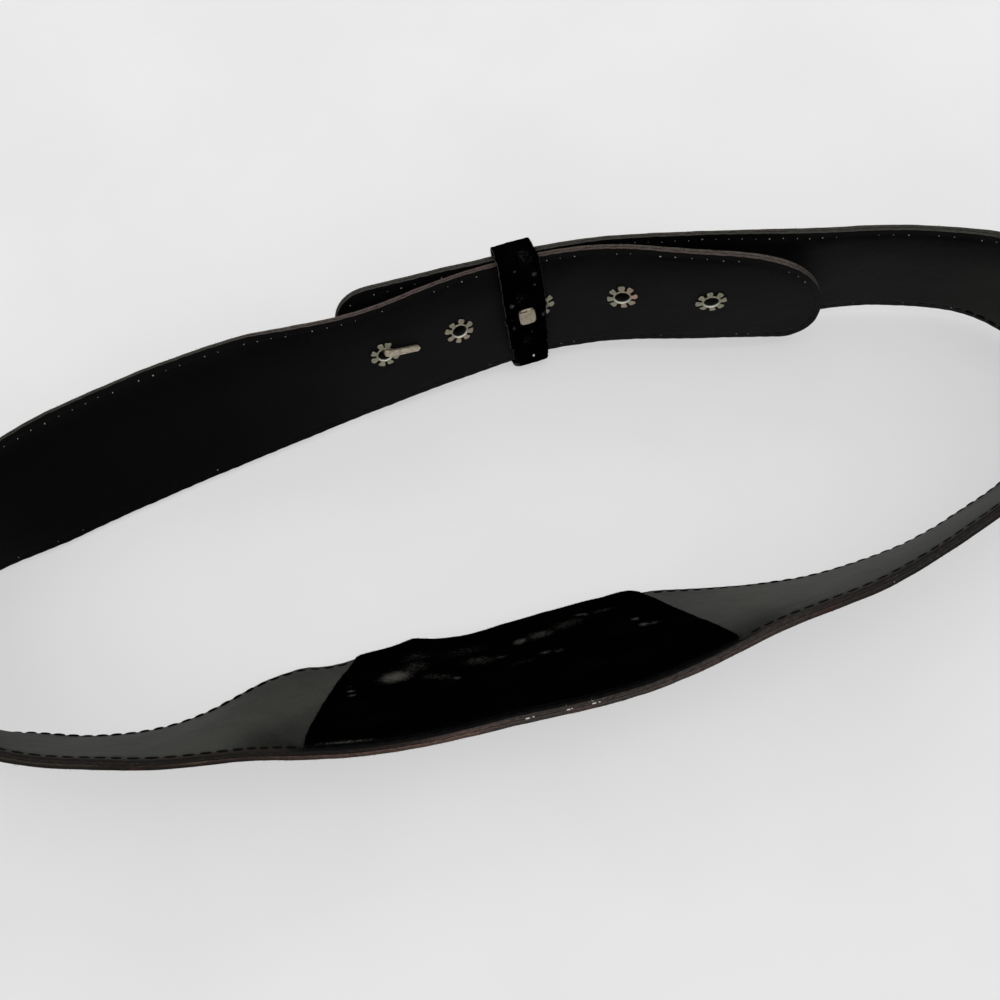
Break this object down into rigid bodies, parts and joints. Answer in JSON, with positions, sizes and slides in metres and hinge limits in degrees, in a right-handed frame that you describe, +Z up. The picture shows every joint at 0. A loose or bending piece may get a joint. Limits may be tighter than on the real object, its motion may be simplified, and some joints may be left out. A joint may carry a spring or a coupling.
{
  "type": "suede belt",
  "caption": "Two-layer suede belt fastened in a loop by a metal hook and a stapled keeper, standing on its edge.",
  "frame": {"origin": "middle of the belt's box, on the surface it stands on", "axes": "+Z up across the strap's width, X along the loop's long side, -Y the near side with the patch, +Y the fastened side with the keeper, the eyelets and the hook"},
  "size_m": [0.3783, 0.1662, 0.0519],
  "materials": {
    "suede": "black suede nap, matt, with brown raw cut edges",
    "lining": "smooth black leather with a fine grain, stitched along both edges",
    "patch": "black napped leather, rubbed grey in places",
    "eyelet_metal": "aged, olive grey, slightly scratched",
    "hook_metal": "pale warm metal, worn satin",
    "staple_metal": "pale warm metal, worn satin"
  },
  "bodies": {
    "root": {"strap_suede": "suede", "strap_lining": "lining", "back_patch": "patch", "eyelet_1": "eyelet_metal", "eyelet_2": "eyelet_metal", "eyelet_3": "eyelet_metal", "eyelet_4": "eyelet_metal", "eyelet_5": "eyelet_metal", "hook": "hook_metal", "keeper_loop": "suede", "keeper_staple": "staple_metal"}
  },
  "joints": []
}
